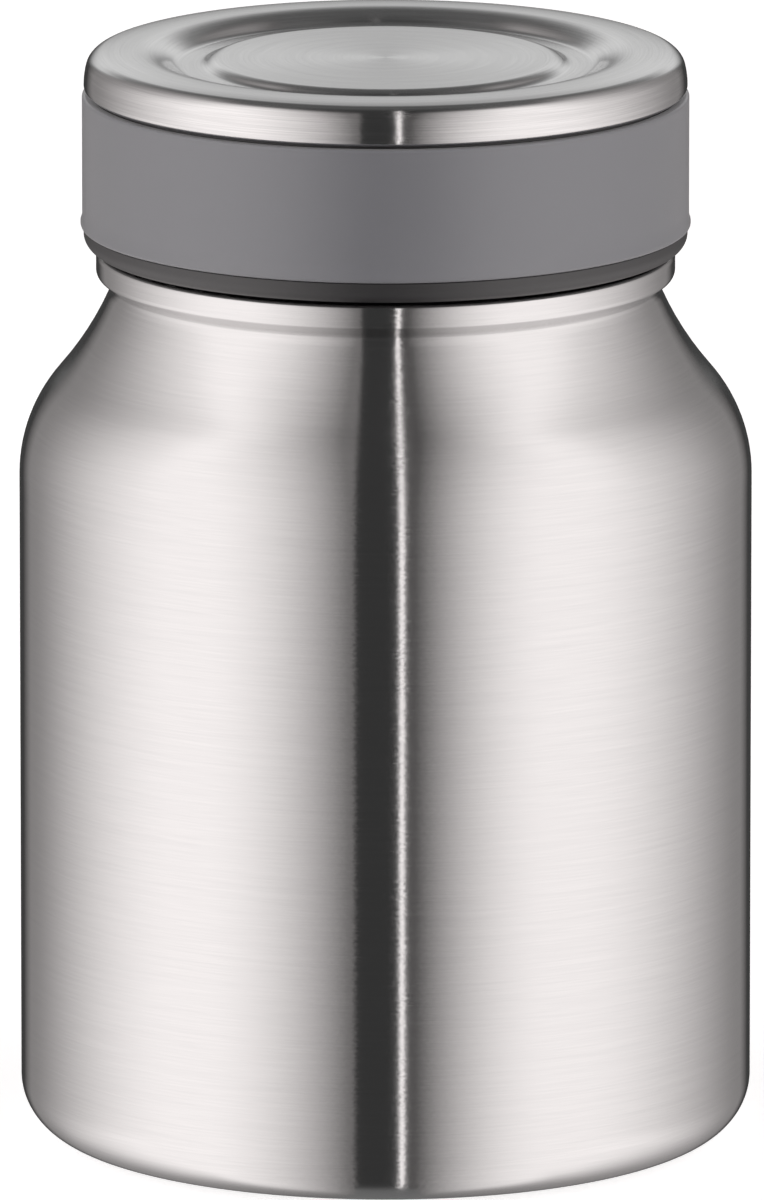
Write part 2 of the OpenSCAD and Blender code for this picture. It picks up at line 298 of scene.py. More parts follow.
# Shares of the coarse and the fine lines in the steel's tone, and the range that its two tones span
COARSE_TONE = 0.4
FINE_TONE = 0.6
TONE_RANGE = (0.36, 0.64)
PATCH_DULLING = 0.3
SCRATCH_DEPTH = 0.5
# How much smoother and duller than its roughness a plastic gets by handling
POLISHED_BY = 0.03
DULLED_BY = 0.04
# The part of a fine pattern's range that changes the gloss
PATTERN_RANGE = (0.3, 0.7)


def new_material(name):
    """A material, its bench and its surface node."""
    material = bpy.data.materials.new(name)
    bench = empty_bench(material)
    surface = bench.node("ShaderNodeBsdfPrincipled")
    bench.finish("ShaderNodeOutputMaterial", surface)
    return material, bench, surface


def brushed_steel(name, dark, light, roughness, spread, length, spacing, depth, waver=0.0):
    """Steel brushed round its axis. The stretch of the highlight runs across the lines, and each
    line's own small turn about the axis (waver) breaks a reflection's upright edge into grains."""
    material, bench, surface = new_material(name)
    lines = place(bench, BRUSHING, Length=length, Spacing=spacing)
    marks = place(bench, HANDLING, Size=STEEL_PATCH)
    blend = bench.total(
        bench.product(lines["Coarse"], COARSE_TONE), bench.product(lines["Fine"], FINE_TONE)
    )
    colour = bench.tone(bench.remap(blend, *TONE_RANGE), dark, light)
    bench.feed(surface, "Base Color", colour)
    surface.inputs["Metallic"].default_value = 1.0
    by_lines = bench.product(lines["Coarse"], spread)
    by_marks = bench.product(marks["Patches"], PATCH_DULLING * spread)
    bench.feed(surface, "Roughness", bench.total(roughness, by_lines, by_marks))
    surface.inputs["Anisotropic"].default_value = 1.0
    surface.inputs["Anisotropic Rotation"].default_value = 0.25
    tangent = bench.node("ShaderNodeTangent", {"direction_type": "RADIAL", "axis": "Z"}).outputs[0]
    bench.feed(surface, "Tangent", tangent)
    height = bench.math("SUBTRACT", lines["Fine"], bench.product(lines["Scratches"], SCRATCH_DEPTH))
    turn = bench.product(bench.math("SUBTRACT", lines["Waver"], 0.5), waver)
    normal = bench.vector("ADD", bench.bump(height, depth), bench.scaled(tangent, turn))
    bench.feed(surface, "Normal", bench.vector("NORMALIZE", normal))
    return material


def brushed_wall():
    """The jar's outer wall, finely brushed."""
    return brushed_steel(
        "brushed_wall", dark=(0.6, 0.598, 0.597), light=(0.638, 0.635, 0.633),
        roughness=0.125, spread=0.015,
        length=9 * MM, spacing=0.12 * MM, depth=0.0015 * MM, waver=0.013,
    )


def brushed_cap():
    """The lid's steel top, with longer lines and more contrast."""
    return brushed_steel(
        "brushed_cap", dark=(0.565, 0.563, 0.562), light=(0.665, 0.662, 0.66),
        roughness=0.125, spread=0.03,
        length=14 * MM, spacing=0.16 * MM, depth=0.0015 * MM, waver=0.013,
    )


def brushed_base():
    """The plate and the disc underneath, rougher."""
    return brushed_steel(
        "brushed_base", dark=(0.55, 0.545, 0.54), light=(0.64, 0.636, 0.63),
        roughness=0.24, spread=0.06,
        length=6 * MM, spacing=0.2 * MM, depth=0.01 * MM,
    )


def bright_steel():
    """The pot inside, as drawn and polished, and the getter's clip."""
    return brushed_steel(
        "bright_steel", dark=(0.63, 0.63, 0.625), light=(0.7, 0.7, 0.695),
        roughness=0.15, spread=0.05,
        length=14 * MM, spacing=0.3 * MM, depth=0.008 * MM,
    )


def plastic(name, dark, light, roughness, grain, depth, sheen=0.0, gloss=0.5):
    """Moulded plastic or rubber with a fine mould skin."""
    material, bench, surface = new_material(name)
    skin = place(bench, MOULDED, Grain=grain)
    marks = place(bench, HANDLING, Size=PLASTIC_PATCH)
    mix = bench.total(bench.product(skin["Grains"], 0.5), bench.product(marks["Patches"], 0.5))
    bench.feed(surface, "Base Color", bench.tone(mix, dark, light))
    worn = bench.remap(marks["Patches"], 0, 1, roughness - POLISHED_BY, roughness + DULLED_BY)
    bench.feed(surface, "Roughness", worn)
    surface.inputs["Sheen Weight"].default_value = sheen
    surface.inputs["Specular IOR Level"].default_value = gloss
    bench.feed(surface, "Normal", bench.bump(skin["Height"], depth))
    return material


def band_plastic():
    """The light grey grip sleeve."""
    return plastic(
        "band_plastic", dark=(0.19, 0.195, 0.214), light=(0.212, 0.217, 0.236),
        roughness=0.3, grain=0.16 * MM, depth=0.01 * MM, sheen=0.4, gloss=0.9,
    )


def dark_plastic():
    """The lid's dark body."""
    return plastic(
        "dark_plastic", dark=(0.016, 0.0155, 0.017), light=(0.021, 0.0205, 0.022),
        roughness=0.38, grain=0.14 * MM, depth=0.008 * MM, gloss=0.8,
    )


def liner_plastic():
    """The lid's inner cup."""
    return plastic(
        "liner_plastic", dark=(0.08, 0.08, 0.088), light=(0.1, 0.1, 0.11),
        roughness=0.38, grain=0.25 * MM, depth=0.008 * MM,
    )


def silicone():
    """The seal ring."""
    return plastic(
        "silicone", dark=(0.72, 0.71, 0.68), light=(0.79, 0.78, 0.75),
        roughness=0.5, grain=0.2 * MM, depth=0.008 * MM, sheen=0.15,
    )


def solder_glass():
    """Grey glass bead that was melted over the evacuation hole."""
    material, bench, surface = new_material("solder_glass")
    marks = place(bench, HANDLING, Size=2 * MM)
    colour = bench.tone(marks["Mottle"], dark=(0.12, 0.14, 0.15), light=(0.2, 0.22, 0.24))
    bench.feed(surface, "Base Color", colour)
    bench.feed(surface, "Roughness", bench.remap(marks["Patches"], 0, 1, to_low=0.08, to_high=0.2))
    bench.feed(surface, "Normal", bench.bump(marks["Mottle"], depth=0.05 * MM))
    return material


def getter():
    """Dull pressed pellet."""
    material, bench, surface = new_material("getter")
    skin = place(bench, MOULDED, Grain=0.25 * MM)
    colour = bench.tone(skin["Grains"], dark=(0.2, 0.2, 0.2), light=(0.38, 0.38, 0.39))
    bench.feed(surface, "Base Color", colour)
    surface.inputs["Metallic"].default_value = 0.6
    dulled = bench.remap(skin["Grains"], *PATTERN_RANGE, to_low=0.6, to_high=0.85)
    bench.feed(surface, "Roughness", dulled)
    bench.feed(surface, "Normal", bench.bump(skin["Height"], depth=0.08 * MM))
    return material


def foil():
    """Bright copper foil, creased where it was wrapped."""
    material, bench, surface = new_material("foil")
    marks = place(bench, HANDLING, Size=11 * MM)
    colour = bench.tone(marks["Patches"], dark=(0.66, 0.38, 0.24), light=(0.76, 0.47, 0.31))
    bench.feed(surface, "Base Color", colour)
    surface.inputs["Metallic"].default_value = 1.0
    dulled = bench.remap(marks["Mottle"], *PATTERN_RANGE, to_low=0.14, to_high=0.26)
    bench.feed(surface, "Roughness", dulled)
    bench.feed(surface, "Normal", bench.bump(marks["Mottle"], depth=0.25 * MM))
    return material


def foam():
    """Pale insulating foam."""
    material, bench, surface = new_material("foam")
    skin = place(bench, MOULDED, Grain=0.9 * MM)
    colour = bench.tone(skin["Grains"], dark=(0.78, 0.77, 0.72), light=(0.88, 0.87, 0.83))
    bench.feed(surface, "Base Color", colour)
    dulled = bench.remap(skin["Grains"], *PATTERN_RANGE, to_low=0.85, to_high=0.98)
    bench.feed(surface, "Roughness", dulled)
    bench.feed(surface, "Normal", bench.bump(skin["Height"], depth=0.3 * MM))
    return material


def make_materials():
    """All materials of the jar, each by the name of its function, which is also its slot."""
    makers = (
        brushed_wall, brushed_cap, brushed_base, bright_steel,
        band_plastic, dark_plastic, liner_plastic, silicone,
        solder_glass, getter, foil, foam,
    )
    return {make.__name__: make() for make in makers}


# ---------------------------------------------------------------------------
# Profiles: points (radius, height) of each turned piece, outline closed
# ---------------------------------------------------------------------------

ARC_STEP = 3.0


def degrees_sin(a):
    return math.sin(math.radians(a))


def degrees_cos(a):
    return math.cos(math.radians(a))


def degrees_tan(a):
    return math.tan(math.radians(a))


def arc(x, z, radius, a0, a1):
    """Points on an arc about (x, z), from angle a0 to a1 in degrees."""
    n = max(2, math.ceil(abs(a1 - a0) / ARC_STEP))
    angles = [a0 + (a1 - a0) * i / n for i in range(n + 1)]
    return [(x + radius * degrees_cos(a), z + radius * degrees_sin(a)) for a in angles]


def wall_lean(height, radius, most):
    """Lean of a wall of a height that two curves of a total radius round off, at most the last value."""
    return min(most, math.degrees(math.acos(1 - height / radius)))


def wall_width(height, radius, lean):
    """Width across the two curves and the straight wall between them."""
    straight = (height - radius * (1 - degrees_cos(lean))) / degrees_tan(lean)
    return radius * degrees_sin(lean) + straight


# Outer wall
shell_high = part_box("outer_shell")[1]
pot_low, pot_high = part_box("inner_pot")
BODY_R = shell_high.x
WALL = 0.5 * MM
WALL_TOP = 87.3 * MM
FOOT_RADIUS = 7.6 * MM
FOOT_FLAT = 2.4 * MM
SHOULDER_LEAN = 40.8
THROAT_LEAN = 24.0
SHOULDER_SHARE = 0.419
NECK_R = 34.5 * MM
LIP_Z = pot_high.z
NECK_H = 14.2 * MM
BEAD_OUT = 3 * MM
GROOVE_IN = 1.7 * MM
GROOVE_FILLET = 1.6 * MM
BEAD_FILLET = 1.2 * MM
BEAD_EDGE = 0.8 * MM
MOST_BEAD_LEAN = 50.0
NECK_FILLET = 0.8 * MM
LIP_RADIUS = LIP_Z - shell_high.z
BEAD_R = NECK_R + BEAD_OUT
GROOVE_R = BEAD_R - GROOVE_IN
FOOT_IN_R = BODY_R - FOOT_RADIUS - FOOT_FLAT
SHOULDER_STEP = BODY_R - GROOVE_R - GROOVE_FILLET * (1 - degrees_cos(THROAT_LEAN))
BULGE_R = SHOULDER_SHARE * SHOULDER_STEP / (1 - degrees_cos(SHOULDER_LEAN))
HOLLOW_STEP = (1 - SHOULDER_SHARE) * SHOULDER_STEP
HOLLOW_R = HOLLOW_STEP / (degrees_cos(THROAT_LEAN) - degrees_cos(SHOULDER_LEAN))
HOLLOW_X = BODY_R - BULGE_R + (BULGE_R + HOLLOW_R) * degrees_cos(SHOULDER_LEAN)
HOLLOW_Z = WALL_TOP + (BULGE_R + HOLLOW_R) * degrees_sin(SHOULDER_LEAN)
GROOVE_Z = HOLLOW_Z + (GROOVE_FILLET - HOLLOW_R) * degrees_sin(THROAT_LEAN)
BEAD_CURVES = GROOVE_FILLET + BEAD_FILLET
BEAD_LEAN = wall_lean(GROOVE_IN, BEAD_CURVES, MOST_BEAD_LEAN)
BEAD_Z = GROOVE_Z + wall_width(GROOVE_IN, BEAD_CURVES, BEAD_LEAN)
BEAD_TOP = LIP_Z - NECK_H


def outer_path(t):
    """Outer wall at depth t under its skin, from the foot's inner edge up to the lip."""
    groove_to = 180 - BEAD_LEAN
    return (
        [(FOOT_IN_R, t)]
        + arc(BODY_R - FOOT_RADIUS, FOOT_RADIUS, FOOT_RADIUS - t, -90, 0)
        + arc(BODY_R - BULGE_R, WALL_TOP, BULGE_R - t, 0, SHOULDER_LEAN)
        + arc(HOLLOW_X, HOLLOW_Z, HOLLOW_R + t, 180 + SHOULDER_LEAN, 180 + THROAT_LEAN)
        + arc(GROOVE_R + GROOVE_FILLET, GROOVE_Z, GROOVE_FILLET + t, 180 + THROAT_LEAN, groove_to)
        + arc(BEAD_R - BEAD_FILLET, BEAD_Z, BEAD_FILLET - t, -BEAD_LEAN, 0)
        + arc(BEAD_R - BEAD_EDGE, BEAD_TOP - BEAD_EDGE, BEAD_EDGE - t, 0, 90)
        + arc(NECK_R + NECK_FILLET, BEAD_TOP + NECK_FILLET, NECK_FILLET + t, 270, 180)
        + [(NECK_R - t, LIP_Z - LIP_RADIUS)]
    )


# Inner pot
POT_R = pot_high.x
POT_SEAM_Z = pot_low.z
POT_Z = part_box("inner_base")[0].z
POT_CORNER = 8 * MM
LEAST_BULGE = 0.25
MOUTH_R = NECK_R - 2 * LIP_RADIUS
VACUUM_GAP = BODY_R - WALL - POT_R
POT_CURVES = (POT_R - MOUTH_R - WALL) / (1 - degrees_cos(SHOULDER_LEAN))
POT_BULGE_R = max(BULGE_R - WALL - VACUUM_GAP, LEAST_BULGE * POT_CURVES)
POT_HOLLOW_R = POT_CURVES - POT_BULGE_R


def pot_path(t):
    """Inner wall at depth t under its vacuum side, from its lower seam over the rolled lip."""
    return (
        [(POT_R - t, POT_SEAM_Z)]
        + arc(POT_R - POT_BULGE_R, WALL_TOP, POT_BULGE_R - t, 0, SHOULDER_LEAN)
        + arc(
            MOUTH_R + WALL + POT_HOLLOW_R, WALL_TOP + POT_CURVES * degrees_sin(SHOULDER_LEAN),
            POT_HOLLOW_R + t, 180 + SHOULDER_LEAN, 180,
        )
        + arc(NECK_R - LIP_RADIUS, LIP_Z - LIP_RADIUS, LIP_RADIUS - WALL + t, 180, 0)
    )


def pot_base_path(t):
    """Inner bottom at depth t, from the middle out to the seam."""
    return (
        [(0, POT_Z + t)]
        + arc(POT_R - POT_CORNER, POT_Z + POT_CORNER, POT_CORNER - t, -90, 0)
        + [(POT_R - t, POT_SEAM_Z)]
    )


# Base plate and the disc over its evacuation pocket
disc_low, disc_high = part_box("base_disc")
BASE_WALL = 0.6 * MM
RECESS_H = disc_high.z
POCKET_R = 6 * MM
POCKET_H = 1.2 * MM
PORT_R = 1.2 * MM
FLANGE_GAP = 0.5 * MM
DISC_R = disc_high.x
DISC_EDGE = 0.2 * MM


def plate_path(t):
    """Underside of the base plate, raised by t: pocket, flat, step and welded flange."""
    return [
        (PORT_R, RECESS_H + POCKET_H + t),
        (POCKET_R - POCKET_H, RECESS_H + POCKET_H + t),
        (POCKET_R, RECESS_H + t),
        (FOOT_IN_R - RECESS_H, RECESS_H + t),
        (FOOT_IN_R - FLANGE_GAP, WALL + t),
        (FOOT_IN_R + FOOT_FLAT, WALL + t),
    ]


def disc_profile():
    """Cover disc with a rounded lower edge."""
    return (
        [(0, disc_low.z)]
        + arc(DISC_R - DISC_EDGE, disc_low.z + DISC_EDGE, DISC_EDGE, -90, 0)
        + [(DISC_R, disc_high.z), (0, disc_high.z)]
    )


# Steel cap
cap_low, cap_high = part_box("lid_cap")
CAP_R = cap_high.x
CAP_Z = cap_low.z
CAP_TOP = cap_high.z
CAP_WALL = 0.5 * MM
CAP_HEM = 0.9 * MM
CAP_SIDE = 0.9 * MM
CAP_LEAN = 14.0
CAP_LEAN_R = 10 * MM
CAP_CORNER = 2.3 * MM
DOME_LEAN = 83.0
DOME_R = 30 * MM
RIM_W = 12.6 * MM
RIM_LIP = 7.5 * MM
VALLEY_W = 2.2 * MM
VALLEY_DEPTH = 1.8 * MM
VALLEY_FILLET = 2.1 * MM
DISC_DROP = 0.9 * MM
CAP_DISC_EDGE = 2.6 * MM
MOST_LEAN = 65.0
CAP_SIDE_Z = CAP_Z + CAP_SIDE
CORNER_X = CAP_R - CAP_LEAN_R + (CAP_LEAN_R - CAP_CORNER) * degrees_cos(CAP_LEAN)
CORNER_Z = CAP_SIDE_Z + (CAP_LEAN_R - CAP_CORNER) * degrees_sin(CAP_LEAN)
DOME_X = CORNER_X - (DOME_R - CAP_CORNER) * degrees_cos(DOME_LEAN)
DOME_Z = CORNER_Z - (DOME_R - CAP_CORNER) * degrees_sin(DOME_LEAN)
VALLEY_Z = CAP_TOP - VALLEY_DEPTH
CAP_DISC_Z = CAP_TOP - DISC_DROP
VALLEY_OUT = CAP_R - RIM_W
VALLEY_IN = VALLEY_OUT - VALLEY_W
RIM_CURVES = RIM_LIP + VALLEY_FILLET
RIM_LEAN = wall_lean(VALLEY_DEPTH, RIM_CURVES, MOST_LEAN)
RIM_X = VALLEY_OUT + wall_width(VALLEY_DEPTH, RIM_CURVES, RIM_LEAN)
DISC_RISE = VALLEY_DEPTH - DISC_DROP
DISC_CURVES = VALLEY_FILLET + CAP_DISC_EDGE
DISC_LEAN = wall_lean(DISC_RISE, DISC_CURVES, MOST_LEAN)
CAP_DISC_X = VALLEY_IN - wall_width(DISC_RISE, DISC_CURVES, DISC_LEAN)


def cap_path(t):
    """Steel cap at depth t: lean of the side, corner, domed rim, valley and middle disc."""
    return (
        arc(CAP_R - CAP_LEAN_R, CAP_SIDE_Z, CAP_LEAN_R - t, 0, CAP_LEAN)
        + arc(CORNER_X, CORNER_Z, CAP_CORNER - t, CAP_LEAN, DOME_LEAN)
        + arc(DOME_X, DOME_Z, DOME_R - t, DOME_LEAN, 90)
        + arc(RIM_X, CAP_TOP - RIM_LIP, RIM_LIP - t, 90, 90 + RIM_LEAN)
        + arc(VALLEY_OUT, VALLEY_Z + VALLEY_FILLET, VALLEY_FILLET + t, RIM_LEAN - 90, -90)
        + arc(VALLEY_IN, VALLEY_Z + VALLEY_FILLET, VALLEY_FILLET + t, 270, 270 - DISC_LEAN)
        + arc(CAP_DISC_X, CAP_DISC_Z - CAP_DISC_EDGE, CAP_DISC_EDGE - t, 90 - DISC_LEAN, 90)
        + [(0, CAP_DISC_Z - t)]
    )


# Lid body, band, inner cup and seal
lid_low, lid_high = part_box("lid_body")
band_low, band_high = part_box("lid_band")
liner_low, liner_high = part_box("lid_liner")
seal_low, seal_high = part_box("lid_seal")
THREAD_H = 1.3 * MM
CREST_GAP = 0.6 * MM
LID_WALL = 1.6 * MM
SEAT_GAP = 0.1 * MM
LID_IN_R = NECK_R + THREAD_H + CREST_GAP
SLEEVE_R = LID_IN_R + LID_WALL
BAND_IN_R = SLEEVE_R + SEAT_GAP
RING_R = lid_high.x
RING_EDGE = 2 * MM
RING_TOP_EDGE = 0.25 * MM
ENTRY_EDGE = 0.5 * MM
DECK_Z = liner_high.z
DECK_H = 2.2 * MM
DECK_TOP = DECK_Z + DECK_H
SNAP_Z = CAP_Z + CAP_WALL + SEAT_GAP
SNAP_H = 0.6 * MM
SNAP_OUT = 0.4 * MM
RIB_W = 1.6 * MM
PLUG_GAP = 0.7 * MM
PLUG_R = MOUTH_R - PLUG_GAP
PLUG_EDGE = 2.5 * MM
LINER_WALL = 1.2 * MM
FLANGE_H = 1.1 * MM
FLANGE_R = LID_IN_R - 2 * SEAT_GAP
SEAL_GAP = 0.3 * MM
SEAL_IN_R = PLUG_R + SEAL_GAP
SEAL_EDGE = 0.45 * MM
BAND_EDGE = 0.4 * MM
BAND_FLARE = 0.22 * MM
BAND_FLARE_H = 1.3 * MM


def cap_profile():
    """Cap with its rounded lower edge, which is turned in over the band."""
    hem = arc(CAP_R - CAP_HEM, CAP_Z + CAP_HEM, CAP_HEM, -90, 0)
    inside = cap_path(CAP_WALL)
    return (
        [(BAND_IN_R, CAP_Z + CAP_WALL), (BAND_IN_R, CAP_Z)]
        + hem
        + cap_path(0)
        + inside[::-1]
        + [(CAP_R - CAP_WALL, CAP_Z + CAP_WALL)]
    )


def lid_body_profile():
    """Deck with its round rib, and the sleeve with the dark ring at its foot and the snap bead above."""
    rim_z = SNAP_Z + SNAP_H
    rib_r = VALLEY_OUT - VALLEY_W / 2 + RIB_W / 2
    return (
        [(0, DECK_Z), (LID_IN_R, DECK_Z)]
        + [(LID_IN_R, lid_low.z + ENTRY_EDGE), (LID_IN_R + ENTRY_EDGE, lid_low.z)]
        + arc(RING_R - RING_EDGE, lid_low.z + RING_EDGE, RING_EDGE, -90, 0)
        + arc(RING_R - RING_TOP_EDGE, band_low.z - RING_TOP_EDGE, RING_TOP_EDGE, 0, 90)
        + [(SLEEVE_R, band_low.z), (SLEEVE_R, SNAP_Z)]
        + [(SLEEVE_R + SNAP_OUT, SNAP_Z + SNAP_H / 2), (SLEEVE_R, rim_z)]
        + [(LID_IN_R, rim_z), (LID_IN_R, DECK_TOP), (rib_r, DECK_TOP), (rib_r, lid_high.z)]
        + [(rib_r - RIB_W, lid_high.z), (rib_r - RIB_W, DECK_TOP), (0, DECK_TOP)]
    )


def liner_profile():
    """Inner cup that hangs in the mouth, with the flange that holds the seal."""

    def cup(t):
        edge = arc(PLUG_R - PLUG_EDGE, liner_low.z + PLUG_EDGE, PLUG_EDGE - t, -90, 0)
        return [(0, liner_low.z + t)] + edge

    flange = [(PLUG_R, DECK_Z - FLANGE_H), (FLANGE_R, DECK_Z - FLANGE_H), (FLANGE_R, DECK_Z)]
    return cup(0) + flange + [(PLUG_R - LINER_WALL, DECK_Z)] + cup(LINER_WALL)[::-1]


def seal_profile():
    """Flat ring with rounded edges."""
    low, high = seal_low.z, seal_high.z
    out_r = seal_high.x
    return (
        arc(SEAL_IN_R + SEAL_EDGE, low + SEAL_EDGE, SEAL_EDGE, 180, 270)
        + arc(out_r - SEAL_EDGE, low + SEAL_EDGE, SEAL_EDGE, 270, 360)
        + arc(out_r - SEAL_EDGE, high - SEAL_EDGE, SEAL_EDGE, 0, 90)
        + arc(SEAL_IN_R + SEAL_EDGE, high - SEAL_EDGE, SEAL_EDGE, 90, 180)
    )


def band_profile():
    """Grip sleeve: its lower edge flares out a little over the dark ring."""
    flare_r = band_high.x
    side_r = flare_r - BAND_FLARE
    return (
        [(BAND_IN_R, band_high.z), (BAND_IN_R, band_low.z)]
        + arc(flare_r - BAND_EDGE, band_low.z + BAND_EDGE, BAND_EDGE, -90, 0)
        + [(flare_r, band_low.z + BAND_FLARE_H / 2), (side_r, band_low.z + BAND_FLARE_H)]
        + arc(side_r - BAND_EDGE, band_high.z - BAND_EDGE, BAND_EDGE, 0, 90)
    )


# ---------------------------------------------------------------------------
# Threads, drawn as a swelling of the neck and of the lid's inner wall
# ---------------------------------------------------------------------------

THREAD_LEAD = 9 * MM
THREAD_STARTS = 2
THREAD_LOW_GAP = 0.9 * MM
THREAD_ENTRY_GAP = 0.2 * MM
THREAD_TAPER = 24.0
# Half widths of a ridge, at its crest and at its foot
RIDGE_CREST = 0.45 * MM
RIDGE_FOOT = 1.2 * MM
NECK_THREAD_FROM = BEAD_TOP + NECK_FILLET
THREAD_Z = NECK_THREAD_FROM + THREAD_LOW_GAP + RIDGE_FOOT
NECK_SWEEP = 336.0
LID_DROP = 1.727 * MM
LID_THREAD_TO = DECK_Z - 0.5 * MM
LID_LOW_Z = lid_low.z + ENTRY_EDGE + THREAD_ENTRY_GAP + RIDGE_FOOT
LID_FROM = 360 * (LID_LOW_Z + LID_DROP - THREAD_Z) / THREAD_LEAD
LID_SWEEP = 180.0
LAPS = (-1, 0, 1, 2)
# A point this near a wall lies on it
NEAR = 0.01 * MM


def smooth(t):
    """Soft step from 0 to 1."""
    t = min(1.0, max(0.0, t))
    return t * t * (3 - 2 * t)


def ridge_height(angle, z, z_at_zero, start, sweep):
    """Share of the ridge's full height at an angle in degrees and a height."""
    best = 0.0
    for k in range(THREAD_STARTS):
        turn = 360.0 / THREAD_STARTS * k
        for lap in LAPS:
            a = angle - turn + 360 * lap
            if a < start or a > start + sweep:
                continue
            off = abs(z - z_at_zero - THREAD_LEAD * a / 360)
            ends = min(1.0, (a - start) / THREAD_TAPER, (start + sweep - a) / THREAD_TAPER)
            across = smooth((RIDGE_FOOT - off) / (RIDGE_FOOT - RIDGE_CREST))
            best = max(best, across * smooth(ends))
    return best


def neck_thread(r, z, angle):
    """Radius of the jar's wall with the neck's ridges standing out of it."""
    if abs(r - NECK_R) > NEAR or z < NECK_THREAD_FROM:
        return r
    return r + THREAD_H * ridge_height(angle, z, THREAD_Z, 0.0, NECK_SWEEP)


def lid_thread(r, z, angle):
    """Radius of the lid's body with the ridges standing in from its inner wall."""
    if abs(r - LID_IN_R) > NEAR or z > LID_THREAD_TO:
        return r
    return r - THREAD_H * ridge_height(angle, z, THREAD_Z - LID_DROP, LID_FROM, LID_SWEEP)


# ---------------------------------------------------------------------------
# Turned pieces
# ---------------------------------------------------------------------------

COLUMNS = 240
SHARP_ANGLE = math.radians(28)
LONGEST_ROW = 1.5 * MM
THREAD_ROW = 0.22 * MM
ON_AXIS = 0.001 * MM
SAME_POINT = 0.002 * MM


def rows_of(profile, thread):
    """The outline's points without repeats, with rows added on long stretches and closer ones
    under a thread."""
    points = [p for i, p in enumerate(profile) if math.dist(p, profile[i - 1]) > SAME_POINT]
    rows = []
    for i, (r, z) in enumerate(points):
        r2, z2 = points[(i + 1) % len(points)]
        rows.append((r, z))
        if r < ON_AXIS and r2 < ON_AXIS:
            continue
        upright = abs(r2 - r) < NEAR
        on_thread_wall = min(abs(r - NECK_R), abs(r - LID_IN_R)) < NEAR
        longest = THREAD_ROW if thread and upright and on_thread_wall else LONGEST_ROW
        n = math.ceil(math.hypot(r2 - r, z2 - z) / longest)
        rows += [(r + (r2 - r) * k / n, z + (z2 - z) * k / n) for k in range(1, n)]
    return rows


def add_row(bm, r, z, thread):
    """Points round the axis at a radius and a height, or one point on the axis."""
    if r < ON_AXIS:
        return [bm.verts.new((0, 0, z))]
    row = []
    for k in range(COLUMNS):
        turn = 360.0 * k / COLUMNS
        out = thread(r, z, turn) if thread else r
        row.append(bm.verts.new((out * degrees_cos(turn), out * degrees_sin(turn), z)))
    return row


def join_rows(bm, below, above):
    """Faces between two rows, of which either may be one point on the axis."""
    if len(below) == 1 and len(above) == 1:
        return
    for k in range(COLUMNS):
        j = (k + 1) % COLUMNS
        if len(below) == 1:
            bm.faces.new((below[0], above[j], above[k]))
        elif len(above) == 1:
            bm.faces.new((below[k], below[j], above[0]))
        else:
            bm.faces.new((below[k], below[j], above[j], above[k]))


def turned_mesh(name, profile, thread):
    """Mesh of a closed outline turned about Z."""
    bm = bmesh.new()
    rows = [add_row(bm, r, z, thread) for r, z in rows_of(profile, thread)]
    for below, above in zip(rows, rows[1:] + rows[:1]):
        join_rows(bm, below, above)
    bmesh.ops.recalc_face_normals(bm, faces=bm.faces)
    mesh = bpy.data.meshes.new(name)
    bm.to_mesh(mesh)
    bm.free()
    mesh.polygons.foreach_set("use_smooth", [True] * len(mesh.polygons))
    mesh.set_sharp_from_angle(angle=SHARP_ANGLE)
    return mesh


def turned(name, profile, node, body, material, thread=None):
    """A piece of an outline turned about Z, in place of a CAD node. A thread is a function that
    moves a point's radius by its height and angle."""
    mesh = turned_mesh(name, profile, thread)
    piece = add_object(name, mesh)
    mesh.materials.append(MATERIALS[material])
    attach(piece, body)
    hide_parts(node)


def sheet(path, wall):
    """Closed outline of sheet metal between a path's two depths."""
    return path(0) + path(wall)[::-1]


def make_jar():
    """The pieces that stand still."""
    outer = sheet(outer_path, WALL)
    turned("outer_wall", outer, "outer_shell", "jar", "brushed_wall", neck_thread)
    turned("base_plate", sheet(plate_path, BASE_WALL), "outer_base", "jar", "brushed_base")
    turned("base_cover", disc_profile(), "base_disc", "jar", "brushed_base")
    turned("pot_wall", sheet(pot_path, WALL), "inner_pot", "jar", "bright_steel")
    turned("pot_bottom", sheet(pot_base_path, WALL), "inner_base", "jar", "bright_steel")


def make_lid():
    """The seal, which only rises, and the pieces that rise and turn."""
    turned("seal_ring", seal_profile(), "lid_seal", "seal", "silicone")
    turned("lid_sleeve", lid_body_profile(), "lid_body", "lid", "dark_plastic", lid_thread)
    turned("lid_cup", liner_profile(), "lid_liner", "lid", "liner_plastic")
    turned("grip_band", band_profile(), "lid_band", "lid", "band_plastic")
    turned("steel_cap", cap_profile(), "lid_cap", "lid", "brushed_cap")


def finish_hidden_nodes():
    """The pieces sealed inside keep their CAD shape and get their own material."""
    for node, material in {
        "vacuum_plug": "solder_glass",
        "getter_clip": "bright_steel",
        "getter_pill": "getter",
        "radiation_foil": "foil",
        "lid_foam": "foam",
    }.items():
        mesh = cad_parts[node].data
        mesh.materials.clear()
        mesh.materials.append(MATERIALS[material])


# ---------------------------------------------------------------------------
# Studio: a pale floor, and a round light tent that shows only in reflections and as light
# ---------------------------------------------------------------------------

FLOOR_SIZE = 12.0
FLOOR_GRAIN = 90.0
FLOOR_LIFT = 0.6
TENT_RADIUS = 6.0
TENT_SEGMENTS = 64
LAMP_TINT = (1, 0.957, 0.952)

# Directions are seen from the tent's middle, and the front is the camera's side. Heights are in
# degrees above the horizon, and bearings in degrees from the front, or from the back for the card
# behind the jar. Depths run from -1 at the front to 1 at the back. Ranges are two of these, and
# fades may add the values there. A pair by side is the left and the right panel's.
CARD_LEVEL = 0.05
